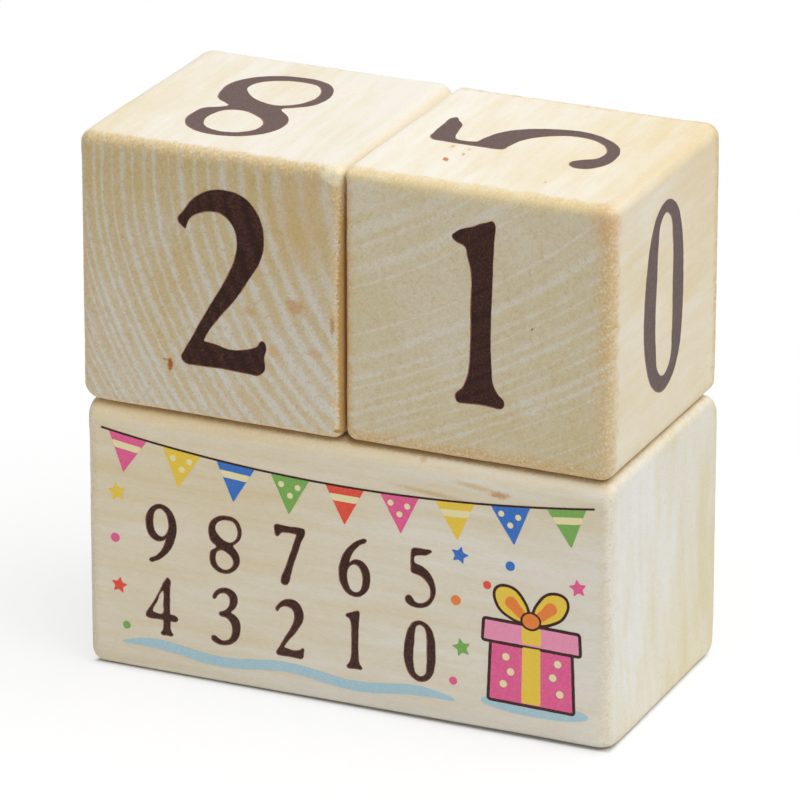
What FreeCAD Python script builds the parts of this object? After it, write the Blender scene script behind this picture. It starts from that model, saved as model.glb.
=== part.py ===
# Countdown block calendar: a long wooden base block that carries two loose wooden number cubes.
# Millimetres, +Z up, the front looks along -Y. The origin is the centre of the base block's underside.
import FreeCAD, Part
import os

# Square bar that both cubes are sawn from, its grain running from front to back
cube_width = 44.45
cube_height = 44.4
cube_edge_radius = 1.9
tens_cube_length = 44.0
ones_cube_length = 43.7

# Bar that the base is sawn from, its grain running from left to right
base_length = 88.6
base_depth = 44.6
base_height = 44.8
base_top_edge_radius = 1.9
base_bottom_edge_radius = 3.1

# The edges along the grain are planed round before a bar is sawn, and each sawn end is sanded round afterwards
sanded_end_radius = 1.5

# How the loose cubes stand on the base: side by side, a little past its left end and behind its front
cube_gap = 0.2
tens_cube_overhang = 0.9
tens_cube_setback = 0.65
ones_cube_setback = 0.8

along_grain = FreeCAD.Vector(0, 1, 0)
up = FreeCAD.Vector(0, 0, 1)
origin = FreeCAD.Vector(0, 0, 0)


def rounded_rectangle(width, height, bottom_radius, top_radius):
    """Closed outline in the XZ plane with round corners, its lower left corner at the origin."""
    centres = [
        (width - bottom_radius, bottom_radius, bottom_radius, -90),
        (width - top_radius, height - top_radius, top_radius, 0),
        (top_radius, height - top_radius, top_radius, 90),
        (bottom_radius, bottom_radius, bottom_radius, 180),
    ]
    corners = []
    for centre_x, centre_z, radius, start_angle in centres:
        centre = FreeCAD.Vector(centre_x, 0, centre_z)
        corners.append(Part.makeCircle(radius, centre, -along_grain, start_angle, start_angle + 90))
    sides = []
    for corner, following in zip(corners, corners[1:] + corners[:1]):
        sides.append(Part.makeLine(corner.lastVertex().Point, following.firstVertex().Point))
    return Part.Wire(Part.__sortEdges__(corners + sides))


def sawn_block(width, height, length, bottom_radius, top_radius):
    """Block with its grain along +Y: round planed edges, and a sanded edge all round each sawn end."""
    largest_radius = 0.45 * min(width, height)
    bottom_radius = min(bottom_radius, largest_radius)
    top_radius = min(top_radius, largest_radius)
    section = Part.Face(rounded_rectangle(width, height, bottom_radius, top_radius))
    bar = section.extrude(along_grain * length)
    ends = [face for face in bar.Faces if abs(face.normalAt(0, 0).dot(along_grain)) > 0.999]
    rims = [edge for end in ends for edge in end.Edges]
    return bar.makeFillet(min(sanded_end_radius, 0.9 * bottom_radius, 0.9 * top_radius), rims)


def base_block():
    """Base bar, its grain turned along X and its underside on z = 0."""
    block = sawn_block(base_depth, base_height, base_length, base_bottom_edge_radius, base_top_edge_radius)
    block.rotate(origin, up, 90)
    block.translate(FreeCAD.Vector(base_length / 2, -base_depth / 2, 0))
    return block


def seated_cube(length, left, setback):
    """Cube that stands on the base's top with its left side at x = left, its front behind the base's."""
    cube = sawn_block(cube_width, cube_height, length, cube_edge_radius, cube_edge_radius)
    cube.translate(FreeCAD.Vector(left, setback - base_depth / 2, base_height))
    return cube


def main():
    """Build the three blocks and write one file for each."""
    tens_cube_left = -base_length / 2 - tens_cube_overhang
    ones_cube_left = tens_cube_left + cube_width + cube_gap
    blocks = {
        "base_block": base_block(),
        "tens_cube": seated_cube(tens_cube_length, tens_cube_left, tens_cube_setback),
        "ones_cube": seated_cube(ones_cube_length, ones_cube_left, ones_cube_setback),
    }
    os.makedirs("parts", exist_ok=True)
    for name, block in blocks.items():
        block.exportStep(f"parts/{name}.step")


main()
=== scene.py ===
"""Countdown block calendar: two loose number cubes stand on a long base block with a printed front.

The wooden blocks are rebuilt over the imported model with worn, rounded edges, and everything printed on them
is a thin film of ink with its own mesh. Names that end in _mm are millimetres, and meshes go over in metres.
"""
import logging
import math
from dataclasses import dataclass, field, replace
from enum import Enum
from functools import partial
from typing import Any, Callable, Iterable, Sequence

import bpy
import numpy as np
from mathutils import Euler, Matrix, Vector, geometry, noise


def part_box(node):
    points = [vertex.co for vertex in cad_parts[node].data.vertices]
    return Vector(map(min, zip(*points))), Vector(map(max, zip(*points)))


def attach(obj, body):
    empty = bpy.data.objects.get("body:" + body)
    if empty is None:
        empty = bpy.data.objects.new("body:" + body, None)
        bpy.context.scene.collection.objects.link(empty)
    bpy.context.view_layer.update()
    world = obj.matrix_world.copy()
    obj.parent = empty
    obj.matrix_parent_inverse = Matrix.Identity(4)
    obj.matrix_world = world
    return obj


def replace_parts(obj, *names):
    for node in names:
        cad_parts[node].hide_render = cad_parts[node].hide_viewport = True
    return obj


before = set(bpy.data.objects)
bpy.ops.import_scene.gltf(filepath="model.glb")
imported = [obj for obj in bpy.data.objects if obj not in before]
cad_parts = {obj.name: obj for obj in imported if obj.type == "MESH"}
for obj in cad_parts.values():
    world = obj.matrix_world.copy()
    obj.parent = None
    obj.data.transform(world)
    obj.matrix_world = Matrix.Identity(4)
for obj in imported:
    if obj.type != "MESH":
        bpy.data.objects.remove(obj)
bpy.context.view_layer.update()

log = logging.getLogger("block_calendar")

MM = 0.001

# The sanded wood lies a little inside the frame's faces, so that the ink's own face still ends inside them
FILM_SINK_MM = 0.04
FILM_FACE_MM = -0.004
FILM_BACK_MM = -0.16

# The steps between the points of a drawn outline, and the number of points on a round one for each millimetre
OUTLINE_STEP_MM = 0.15
STAR_STEP_MM = 0.12
DISC_POINTS_PER_MM = 30

# A star's inner corners lie at this share of its reach
STAR_WAIST = 0.46

# A printed edge wanders in waves and in ripples, which are this share as strong
EDGE_WAVE_MM = 1.5
EDGE_RIPPLE_MM = 0.6
EDGE_RIPPLE_SHARE = 0.6

CORNER = "corner"
Knot = tuple
Loop = np.ndarray
Pair = tuple[float, float]
Triple = tuple[float, float, float]
Radii = tuple[float, float, float, float]
Socket = bpy.types.NodeSocket
Add = Callable[..., Socket]

# What makes a Mix node take colours, into its sockets 6 and 7, and what gives a Map Range node soft ends
COLOURS = {"output": 2, "data_type": "RGBA"}
SOFT = {"interpolation_type": "SMOOTHSTEP"}

# Old-style numerals about 30 mm high, each about its own centre: knots of smooth outlines, outer loop first
NUMERALS: dict[str, tuple[tuple[Knot, ...], ...]] = {
    "0": ((
        (0.7, 15.4), (-2.8, 14.4), (-5.4, 11.2), (-7, 6.2), (-7.9, 0.4), (-8, -3.8), (-7, -8.7),
        (-4.5, -13.2), (-0.3, -15.4), (3.8, -14.3), (6.5, -11), (7.7, -5.6), (7.9, 1.9), (7.2, 8.4),
        (5.1, 13.1),
    ), (
        (-0.1, 13.55), (2.4, 12.4), (3.5, 8.4), (3.7, 0.4), (3.6, -7.1), (2.7, -11.7), (0.2, -13),
        (-2.1, -11.6), (-3.15, -7.3), (-3.4, -1.1), (-3, 3.4), (-2.6, 8.9), (-1.7, 12.5),
    )),
    "1": ((
        (2.15, 15), (2.4, 14.5), (2.3, 12.8), (2.1, 8.8), (1.95, 3.8), (1.75, -2.7), (1.9, -8.2),
        (2.3, -11.6), (3, -12.8), (4.05, -14), (3.6, -15), (2.5, -14.98), (0.1, -14.85), (-2.4, -15),
        (-3.6, -15), (-4, -14.2), (-2.7, -12.4), (-2, -10.5), (-1.55, -5.7), (-1.5, 1.3), (-1.55, 6.8),
        (-2.1, 8.9), (-2.5, 10.4), (-4.1, 11.1), (-4.65, 11.8), (-4, 12.5), (-1.1, 13.8), (1, 14.7),
    ),),
    "2": ((
        (-7.35, 8.5), (-6.4, 10.5), (-5.2, 12.2), (-2.8, 14), (0.5, 14.7), (3.7, 14), (6.2, 11.2), (7, 7.2),
        (6.2, 3.7), (4.5, 0.9), (2.2, -2.7), (-0.7, -6.3), (-2.6, -9), (-3.35, -10.55, CORNER),
        (-1.1, -10.85), (0.7, -11.25), (3.7, -10.95), (5.7, -10.15), (6.9, -9.1), (7.3, -9.9), (6.9, -11.8),
        (7, -13.8), (6, -14.75), (4.3, -14.75), (-0.5, -14.6), (-5, -14.7), (-6.4, -14.6), (-7.1, -13.9),
        (-6.6, -12.6), (-5.6, -10.8), (-2.5, -5.1), (0.7, 0.5), (2.2, 4.1), (2.5, 6.9), (1.7, 9.3),
        (-0.2, 10.85), (-2.3, 10.9), (-4.5, 10.1), (-5.55, 9.2), (-5.95, 8.3), (-6.15, 7.45, CORNER),
        (-6.8, 7.95),
    ),),
    "3": ((
        (-6.6, 9.3), (-5.5, 11.7), (-2.6, 14.1), (0.9, 14.7), (4.3, 13.5), (6.1, 10.8), (6, 7.6), (4.4, 4.6),
        (2.3, 2.7, CORNER), (5.2, 1.2), (7.2, -1.9), (7.5, -6), (6, -10.4), (2.9, -13.4), (-1.3, -14.7),
        (-5.3, -14.2), (-7.4, -12.7), (-7.2, -11), (-5.8, -10.6), (-3.9, -11.9), (-1.2, -12.7), (1.4, -11.6),
        (3.1, -8.9), (3.4, -5.3), (2.3, -2), (-0.2, -0.2), (-3, 0.3), (-3.6, 1.2), (-2.9, 2), (-0.9, 2.8),
        (1.3, 4.9), (2.3, 7.8), (1.8, 10.7), (-0.2, 12.2), (-2.6, 11.8), (-4.5, 10.2), (-5.5, 8.4),
        (-6.4, 8.2),
    ),),
    "4": ((
        (3, 14.9), (4, 14.2), (4.1, 9.5), (4, 2), (4.1, -4.2, CORNER), (7, -4.4), (8.2, -5.2), (8.2, -6.6),
        (7, -7.2), (4.2, -7.1, CORNER), (4.3, -11.6), (5, -13.4), (5.9, -14.3), (5.4, -15), (2.6, -14.9),
        (-0.4, -15), (-0.9, -14.4), (0.1, -13.3), (0.7, -11.4), (0.8, -7.1, CORNER), (-3.5, -7.3),
        (-7.3, -7.3), (-8.4, -6.7), (-8.2, -5.2), (-5.6, -0.8), (-1.2, 7), (2, 13.6),
    ), (
        (0.6, 7.9), (0.9, 6.6), (0.8, 0.5), (0.7, -3.6), (0, -4.4), (-3.2, -4.3), (-5, -3.9), (-4.9, -2.8),
        (-2.6, 1.8), (-0.3, 6.9),
    )),
    "5": ((
        (6.2, 14.7), (5.3, 13.8), (3.4, 12.4), (0.7, 11.9), (-1.6, 11.4), (-2.75, 10.8), (-3.15, 9.2),
        (-2.7, 7.25, CORNER), (-0.5, 6.8), (2.7, 5.5), (5.5, 2.7), (7.3, -1.5), (7.95, -6), (6.4, -10.4),
        (3.2, -13.8), (-1.1, -14.95), (-5.3, -14.2), (-7.35, -12), (-7.2, -10.2), (-5.3, -9.3),
        (-3.8, -10.5), (-2.5, -12.2), (-0.3, -12.8), (2.9, -11.7), (5.1, -8.9), (5.5, -5), (3.8, -1.4),
        (0.6, 1.3), (-2.7, 2.15), (-4.2, 2.5), (-4.5, 3.6), (-4.5, 5), (-4.4, 12.4), (-4.25, 14),
        (-3.3, 14.8), (-1.7, 15), (3.5, 15.15), (5.6, 15.1),
    ),),
    "6": ((
        (5.6, 15.1), (6.4, 14.5), (5.9, 13.6), (3.4, 12.2), (0.5, 9.4), (-1.7, 5.6), (-2.9, 1.5, CORNER),
        (-1.4, 3), (1.2, 4), (4.6, 3.1), (7, 0.2), (7.9, -4.2), (7.3, -9), (4.9, -12.9), (1, -14.9),
        (-3.3, -14), (-6.5, -10.5), (-7.9, -5), (-7.3, 1.2), (-5, 6.8), (-1.4, 11.3), (2.9, 14.3),
    ), (
        (0.4, 1.6), (2.7, 0), (4.1, -3.6), (4.1, -8), (2.6, -11.8), (0.1, -12.9), (-2.3, -11.3),
        (-3.7, -7.6), (-3.9, -3.2), (-2.4, 0.2),
    )),
    "7": ((
        (-7.3, 14.9), (-7.9, 14.2), (-7.7, 12), (-7.2, 9.6), (-6.4, 8.9), (-5.6, 9.6), (-4.3, 11.2),
        (-1.6, 11.7), (3.8, 11.6, CORNER), (2.6, 8), (0.4, 1.2), (-2.2, -6.6), (-4.4, -13), (-4.3, -14.5),
        (-2.9, -15.1), (-1.2, -14.8), (-0.4, -13.4), (0.6, -9), (3.2, -0.2), (6, 8), (7.9, 13.2),
        (7.7, 14.7), (6, 15), (-1, 14.8), (-5, 15),
    ),),
    "8": ((
        (0.9, 14.7), (-3, 13.9), (-6.2, 11.8), (-8.2, 8.6), (-8.4, 4.5), (-6.8, 0.3), (-5.3, -0.7),
        (-4.4, -1.7), (-5.2, -2.7), (-7.2, -4), (-8, -7.2), (-7.5, -10.9), (-4.8, -13.8), (-0.7, -14.7),
        (3.4, -13.5), (6.4, -10.6), (7.4, -7.2), (6.8, -4), (5.3, -1.8), (4.2, -0.75), (3.8, 0.05), (5, 1.2),
        (7.3, 3.2), (8.45, 6.6), (8, 10.2), (6.3, 13.1), (4, 14.4),
    ), (
        (1.6, 12.8), (-2, 12), (-4.5, 10), (-5.2, 7.3), (-3.8, 4.5), (-0.7, 2), (2.2, 1.25), (5.2, 3),
        (6.6, 6), (6.2, 9.8), (4.5, 12.2),
    ), (
        (-1.8, -2.9), (1.3, -4.1), (3.9, -6.8), (4.2, -9.6), (2.6, -12), (-0.3, -13), (-3.3, -12.1),
        (-5, -9.5), (-5.1, -6.3), (-3.8, -3.6),
    )),
}


def linear(colour: str) -> tuple[float, float, float, float]:
    """Turn an sRGB hex colour into the linear values that Blender's sockets take.

    Args:
        colour: Six hex digits after a hash, as read off the real surface.

    Returns:
        Linear red, green and blue, and an alpha of 1.
    """
    channels = [int(colour[place:place + 2], 16) / 255 for place in (1, 3, 5)]
    red, green, blue = (c / 12.92 if c <= 0.04045 else ((c + 0.055) / 1.055) ** 2.4 for c in channels)
    return red, green, blue, 1.0


def add_node(tree: bpy.types.NodeTree, kind: str, *values: Any, output: int | str = 0,
             inputs: dict[int | str, Any] | None = None, **settings: Any) -> Socket:
    """Add one node with its settings, values and links.

    Args:
        tree: The node tree that takes the node.
        kind: The node's type without its ShaderNode prefix, and after a dot its operation where it has one.
        values: What goes into its first sockets, in order: a value, or another node's socket to link.
        output: The name or number of the socket to hand back.
        inputs: What goes into other sockets, by name or number.
        settings: The node's other properties by name.

    Returns:
        The chosen output socket of the new node.
    """
    kind, _, operation = kind.partition(".")
    node = tree.nodes.new("ShaderNode" + kind)
    if operation:
        node.operation = operation
    for name, value in settings.items():
        setattr(node, name, value)
    for key, value in [*enumerate(values), *(inputs or {}).items()]:
        if isinstance(value, bpy.types.NodeSocket):
            tree.links.new(value, node.inputs[key])
        else:
            node.inputs[key].default_value = value
    return node.outputs[output] if len(node.outputs) else None


def clear_nodes(owner: bpy.types.Material | bpy.types.World) -> Add:
    """Give a new material or world an empty node tree.

    Args:
        owner: The material or world.

    Returns:
        add_node for its tree.
    """
    owner.use_nodes = True
    owner.node_tree.nodes.clear()
    return partial(add_node, owner.node_tree)


def drift(points: np.ndarray, wavelength_mm: float, seed: float) -> np.ndarray:
    """Smooth seeded noise at many points.

    Args:
        points: Points in millimetres, one a row, with two or three columns.
        wavelength_mm: The size of its bumps.
        seed: Moves the noise to another place, so that two uses differ.

    Returns:
        One value from about -1 to 1 for each point.
    """
    shift = Vector((seed * 7.31, seed * 3.77, seed * 5.19))
    scaled = points / wavelength_mm
    if scaled.shape[1] == 2:
        scaled = np.column_stack([scaled, np.zeros(len(scaled))])
    return np.array([noise.noise(Vector(point) + shift) for point in scaled])


# Flat outlines

def unit(rows: np.ndarray) -> np.ndarray:
    """The same directions, each of length 1."""
    return rows / np.linalg.norm(rows, axis=1)[:, None]


def smooth_loop(knots: Sequence[Knot], scale: float = 1.0, step_mm: float = OUTLINE_STEP_MM) -> Loop:
    """Closed smooth outline through knots; a stretch that bends evenly comes out as an arc.

    Args:
        knots: Points in order, each x and y, with CORNER after them where the outline has a sharp corner.
        scale: Multiplies the knots.
        step_mm: The rough distance between the points handed back.

    Returns:
        Points of the outline, one a row.
    """
    place = np.array([knot[:2] for knot in knots], float) * scale
    before = place - np.roll(place, 1, 0)
    after = np.roll(place, -1, 0) - place
    long_before = np.linalg.norm(before, axis=1)[:, None]
    long_after = np.linalg.norm(after, axis=1)[:, None]
    tangent = unit(before / long_before * long_after + after / long_after * long_before)
    pieces = []
    for start, knot in enumerate(knots):
        end = (start + 1) % len(knots)
        chord = after[start] / long_after[start]
        length = float(long_after[start][0])
        leave = chord if CORNER in knot else tangent[start]
        reach = chord if CORNER in knots[end] else tangent[end]
        handle_a = place[start] + leave * length * 2 / (3 * (1 + max(-0.2, leave @ chord)))
        handle_b = place[end] - reach * length * 2 / (3 * (1 + max(-0.2, reach @ chord)))
        share = np.linspace(0, 1, max(3, round(length / step_mm)), endpoint=False)[:, None]
        rest = 1 - share
        pieces.append(rest ** 3 * place[start] + 3 * rest ** 2 * share * handle_a
                      + 3 * rest * share ** 2 * handle_b + share ** 3 * place[end])
    return np.concatenate(pieces)


def even_loop(loop: Loop) -> Loop:
    """Space the points of a closed outline evenly.

    Args:
        loop: The outline.

    Returns:
        The same outline with its points OUTLINE_STEP_MM apart.
    """
    closed = np.vstack([loop, loop[:1]])
    run = np.concatenate([[0], np.cumsum(np.linalg.norm(np.diff(closed, axis=0), axis=1))])
    marks = np.linspace(0, run[-1], max(8, round(run[-1] / OUTLINE_STEP_MM)), endpoint=False)
    return np.column_stack([np.interp(marks, run, closed[:, axis]) for axis in (0, 1)])


def signed_area(loop: Loop) -> float:
    """Area inside a loop, positive where it runs anticlockwise."""
    x, y = loop.T
    return float(np.sum(x * np.roll(y, -1) - np.roll(x, -1) * y) / 2)


def printed_loop(loop: Loop, seed: float, wobble_mm: float, spread_mm: float = 0.0) -> Loop:
    """Outline as a soft printing plate leaves it: corners filled in, edges a little uneven.

    Args:
        loop: The drawn outline.
        seed: Chooses where the edge wanders.
        wobble_mm: How far the edge wanders.
        spread_mm: How far the ink runs out past the drawn edge.

    Returns:
        The printed outline, evenly spaced.
    """
    soft = even_loop(loop)
    for _ in range(3):
        soft = (np.roll(soft, 1, 0) + 2 * soft + np.roll(soft, -1, 0)) / 4
    along = unit(np.roll(soft, -1, 0) - np.roll(soft, 1, 0))
    outward = np.column_stack([along[:, 1], -along[:, 0]]) * (1 if signed_area(soft) > 0 else -1)
    ripple = EDGE_RIPPLE_SHARE * drift(soft, EDGE_RIPPLE_MM, seed + 4)
    reach = spread_mm + wobble_mm * (drift(soft, EDGE_WAVE_MM, seed) + ripple)
    return soft + outward * reach[:, None]


def disc(x: float, y: float, radius: float, flat: float = 1.0) -> Loop:
    """Circle, or an ellipse whose height is `flat` times its width."""
    turn = np.linspace(0, 2 * math.pi, max(24, round(radius * DISC_POINTS_PER_MM)), endpoint=False)
    return np.column_stack([x + radius * np.cos(turn), y + radius * flat * np.sin(turn)])


def star(x: float, y: float, radius: float, turn_deg: float) -> Loop:
    """Five-pointed star with slightly full arms.

    Args:
        x: Its centre's place to the right.
        y: Its centre's height.
        radius: The reach of its points.
        turn_deg: How far it is turned anticlockwise.

    Returns:
        Its outline.
    """
    angles = np.radians(90 + turn_deg + 36 * np.arange(10))
    reach = np.where(np.arange(10) % 2 == 0, radius, radius * STAR_WAIST)
    knots = [(x + r * math.cos(a), y + r * math.sin(a), CORNER) for r, a in zip(reach, angles)]
    return smooth_loop(knots, step_mm=STAR_STEP_MM)


def polygon(*corners: Pair) -> Loop:
    """Straight-sided outline."""
    return smooth_loop([(x, y, CORNER) for x, y in corners])


def ribbon(line: np.ndarray, width: np.ndarray) -> Loop:
    """Band along a line.

    Args:
        line: Points of the line, one a row.
        width: The band's width at each point.

    Returns:
        Its outline.
    """
    along = unit(np.gradient(line, axis=0))
    side = np.column_stack([-along[:, 1], along[:, 0]]) * width[:, None] / 2
    return np.vstack([line + side, (line - side)[::-1]])


def inside(points: np.ndarray, loops: Iterable[Loop]) -> np.ndarray:
    """Find which points a shape covers.

    Args:
        points: Points, one a row.
        loops: The shape's outer loop and its holes.

    Returns:
        True for each point inside the outer loop and outside the holes.
    """
    x, y = points[:, 0][:, None], points[:, 1][:, None]
    crossings = np.zeros(len(points), int)
    for loop in loops:
        following = np.roll(loop, -1, 0)
        spans = (loop[:, 1] > y) != (following[:, 1] > y)
        rise = following[:, 1] - loop[:, 1]
        slope = (following[:, 0] - loop[:, 0]) / np.where(rise == 0, 1, rise)
        crossings += np.sum(spans & (x < loop[:, 0] + (y - loop[:, 1]) * slope), axis=1)
    return crossings % 2 == 1


# Where things lie on a block

class Side(Enum):
    """The six faces of a block: where its lower left corner is, its rightward and its upward direction."""

    FRONT = ((0, 0, 0), (1, 0, 0), (0, 0, 1))
    BACK = ((1, 1, 0), (-1, 0, 0), (0, 0, 1))
    LEFT = ((0, 1, 0), (0, -1, 0), (0, 0, 1))
    RIGHT = ((1, 0, 0), (0, 1, 0), (0, 0, 1))
    TOP = ((0, 0, 1), (1, 0, 0), (0, 1, 0))
    BOTTOM = ((0, 1, 0), (1, 0, 0), (0, -1, 0))

    def place(self, low: np.ndarray, high: np.ndarray, points: np.ndarray, lift_mm: float) -> np.ndarray:
        """Put flat points on this face of a box.

        Args:
            low: The box's lowest corner in millimetres.
            high: Its highest corner.
            points: Points on the face from its lower left corner, in millimetres.
            lift_mm: How far outside the face they lie.

        Returns:
            The points in space, in millimetres.
        """
        corner, right, up = (np.array(part, float) for part in self.value)
        origin = np.where(corner > 0, high, low)
        return origin + points[:, :1] * right + points[:, 1:] * up + lift_mm * np.cross(right, up)


class Grain(Enum):
    """Which way a block's fibres run, as the turn that lays them along the local Y axis."""

    FRONT_TO_BACK = 0.0
    LEFT_TO_RIGHT = math.pi / 2


@dataclass(frozen=True)
class Bumps:
    """Seeded noise in the wood: how many bumps it has to the millimetre across, along and up the grain.

    `detail` is its number of finer layers, `roughness` how strong each is beside the one before, and `shift`
    tells it from the block's other noises.
    """

    per_mm: Triple
    detail: float
    roughness: float
    shift: float


# Pores, fine fibres and specks are 0.2 to 0.4 mm across, a little coarser than real ones so that they show
PORES = Bumps((2.4, 2.4, 2.4), 2.0, 0.75, 1.0)
FIBRES = Bumps((4.2, 1.4, 4.2), 1.0, 0.7, 8.0)
INK_SPECKS = Bumps((3.2, 3.2, 3.2), 1.0, 0.8, 7.0)
# Fibres that the saw tore lie in tufts 0.5 mm across and 1.4 mm long, and stains, small marks and patches of
# painted shade have rims as ragged as 1 mm bumps leave them
TUFTS = Bumps((2.1, 0.7, 2.1), 3.0, 0.7, 6.0)
RAGGED_MARK_AND_SHADE_RIMS = Bumps((1.1, 0.35, 1.1), 4.0, 0.8, 10.0)
SPOTTED_STAIN = Bumps((1.0, 1.0, 1.0), 5.0, 0.78, 11.0)
# Mottling, long streaks and the bumps in the rubbed edges' rims are about 2 mm across
MOTTLE = Bumps((0.42, 0.16, 0.42), 3.0, 0.6, 2.0)
STREAKS = Bumps((0.5, 0.045, 0.5), 3.0, 0.65, 9.0)
WANDERING_RIM = Bumps((0.5, 0.5, 0.5), 4.0, 0.68, 3.0)
# Clouds are 12 mm across on the sawn ends, and 9 mm across and 33 mm long on the long faces
END_CLOUDS = Bumps((0.085, 0.085, 0.085), 4.0, 0.6, 4.0)
SIDE_CLOUDS = Bumps((0.11, 0.03, 0.11), 6.0, 0.72, 5.0)


@dataclass(frozen=True)
class FleckOrShade:
    """A small mark in the wood, or a patch of painted shade in a gap or seam: where it lies from the block's
    centre, and its half sizes, in millimetres.
    """

    place: Triple
    size: Triple
    colour: str
    strength: float = 0.9
    turn: Triple = (0.0, 0.0, 0.0)
    softness: float = 0.5
    cloudy: float = 0.0


@dataclass(frozen=True)
class GrainSockets:
    """What a block's grain gives to the materials on it."""

    place: Socket
    ring_line: Socket
    speckle: Socket
    end: Socket
    end_edge: Socket
    long_edge: Socket


@dataclass(frozen=True)
class GrainField:
    """Growth rings, mottling and rubbed edges of one block, the same for its wood and for the ink on it.

    The rings run round a pith that lies outside the block, along its fibres, and crowd together further out:
    `ring_mm` is their spacing at the block's middle. Slow waves carry them up to `wave_mm` out of place.
    `line_share` is the share of a ring that takes the wash, and `share_lean` how much it grows with each
    millimetre across and up. `rub_mm` is the width that is rubbed off the edges, more on one side than on the
    other by `rub_shift_mm`.
    """

    grain: Grain
    seed: float
    pith_mm: Pair
    ring_mm: float
    line_share: float
    share_lean: Pair = (0.0, 0.0)
    crowding: float = 1.5
    wave_mm: float = 1.7
    unevenness: float = 0.35
    pores: Bumps = PORES
    rub_mm: float = 1.6
    rub_shift_mm: Triple = (0.0, 0.0, 0.0)
    centre_mm: Triple = (0.0, 0.0, 0.0)
    half_mm: Triple = (0.0, 0.0, 0.0)

    def noise(self, add: Add, place: Socket, bumps: Bumps) -> Socket:
        """Seeded noise in the block.

        Args:
            add: add_node for the material's tree.
            place: The place in millimetres.
            bumps: The noise's look.

        Returns:
            The socket of its value, mostly from 0.3 to 0.7.
        """
        drawn = add("Mapping", place, (self.seed, bumps.shift, self.seed), inputs={"Scale": bumps.per_mm})
        look = {"Scale": 1.0, "Detail": bumps.detail, "Roughness": bumps.roughness}
        return add("TexNoise", drawn, inputs=look)

    def ring_age(self, add: Add, place: Socket) -> Socket:
        """Number the growth rings.

        Args:
            add: add_node for the material's tree.
            place: The place in millimetres.

        Returns:
            The socket of the ring's number, with its fraction.
        """
        # Slow waves in the rings, 30 mm across and five times as long along the fibres
        slow = add("Mapping", place, (self.seed, 0, 0), inputs={"Scale": (0.033, 0.006, 0.033)})
        wave = add("TexNoise", slow, output="Color", inputs={"Scale": 1.0, "Detail": 1.5})
        from_pith = (-self.wave_mm - self.pith_mm[0], 0, -self.wave_mm - self.pith_mm[1])
        wave = add("VectorMath.MULTIPLY_ADD", wave, (2 * self.wave_mm, 0, 2 * self.wave_mm), from_pith)
        reach = add("VectorMath.ADD", place, wave)
        reach = add("VectorMath.MULTIPLY", reach, (1, 0, 1))
        reach = add("VectorMath.LENGTH", reach, output="Value")
        # The number grows with the power of the distance from the pith that gives the spacing
        power = self.crowding + 1
        scale = 1 / (power * self.ring_mm * math.hypot(*self.pith_mm) ** self.crowding)
        reach = add("Math.POWER", reach, power)
        age = add("Math.MULTIPLY", reach, scale)
        # Good and poor years
        year = add("TexNoise", inputs={"W": age, "Scale": 0.6, "Detail": 1.0}, noise_dimensions="1D")
        return add("Math.MULTIPLY_ADD", year, 0.4 + self.unevenness, age)

    def ring_line(self, add: Add, place: Socket, speckle: Socket) -> Socket:
        """Draw the lines of open pores, one to a ring, of uneven width and strength with ragged edges.

        Args:
            add: add_node for the material's tree.
            place: The place in millimetres.
            speckle: The pores, which fray the lines.

        Returns:
            The socket that is 1 on a strong line and 0 between lines.
        """
        age = self.ring_age(add, place)
        mottle = self.noise(add, place, MOTTLE)
        # How far from the middle of the ring's line, in rings, with a frayed rim
        gap = add("Math.PINGPONG", age, 0.5)
        ragged = add("Math.MULTIPLY_ADD", speckle, 0.8, -0.65)
        ragged = add("Math.MULTIPLY_ADD", mottle, 0.5, ragged)
        gap = add("Math.ADD", gap, ragged)
        # The line's width, which differs from year to year
        lean = (self.share_lean[0], 0, self.share_lean[1])
        lean = add("VectorMath.DOT_PRODUCT", place, lean, output="Value")
        width = add("TexNoise", inputs={"W": age, "Scale": 0.8, "Detail": 0.0}, noise_dimensions="1D")
        width = add("Math.MULTIPLY_ADD", width, self.line_share * 2 * self.unevenness, lean)
        width = add("Math.ADD", width, self.line_share * (1 - self.unevenness))
        width = add("Math.MAXIMUM", width, 0.06)
        core = add("Math.MULTIPLY_ADD", width, 1.0, -0.12)
        rim = add("Math.ADD", width, 0.10)
        line = add("MapRange", gap, core, rim, 1.0, 0.0, **SOFT)
        strong = add("TexNoise", inputs={"W": age, "Scale": 1.1, "Detail": 0.0}, noise_dimensions="1D")
        strong = add("MapRange", strong, 0.3, 0.6, 1 - self.unevenness, 1.0)
        return add("Math.MULTIPLY", line, strong)

    def depths(self, add: Add, place: Socket) -> Sequence[Socket]:
        """Depths under the side, end and top or bottom faces.

        Args:
            add: add_node for the material's tree.
            place: The place in millimetres.

        Returns:
            The sockets of the depths across, along and up the grain.
        """
        depth = add("VectorMath.ABSOLUTE", place)
        depth = add("VectorMath.SUBTRACT", self.half_mm, depth)
        return add("SeparateXYZ", depth).node.outputs

    def lay(self, add: Add) -> GrainSockets:
        """Build the nodes of this grain in a material.

        Args:
            add: add_node for the material's tree.

        Returns:
            The sockets that carry the grain.
        """
        turn = Euler((0, 0, self.grain.value))
        shift = Vector(self.centre_mm)
        shift.rotate(turn)
        place = add("TexCoord", output="Object")
        place = add("Mapping", place, -shift, turn, (1 / MM,) * 3)
        speckle = self.noise(add, place, self.pores)
        end = add("MapRange", self.depths(add, place)[1], 0.3, 1.5, 1.0, 0.0, **SOFT)
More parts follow.
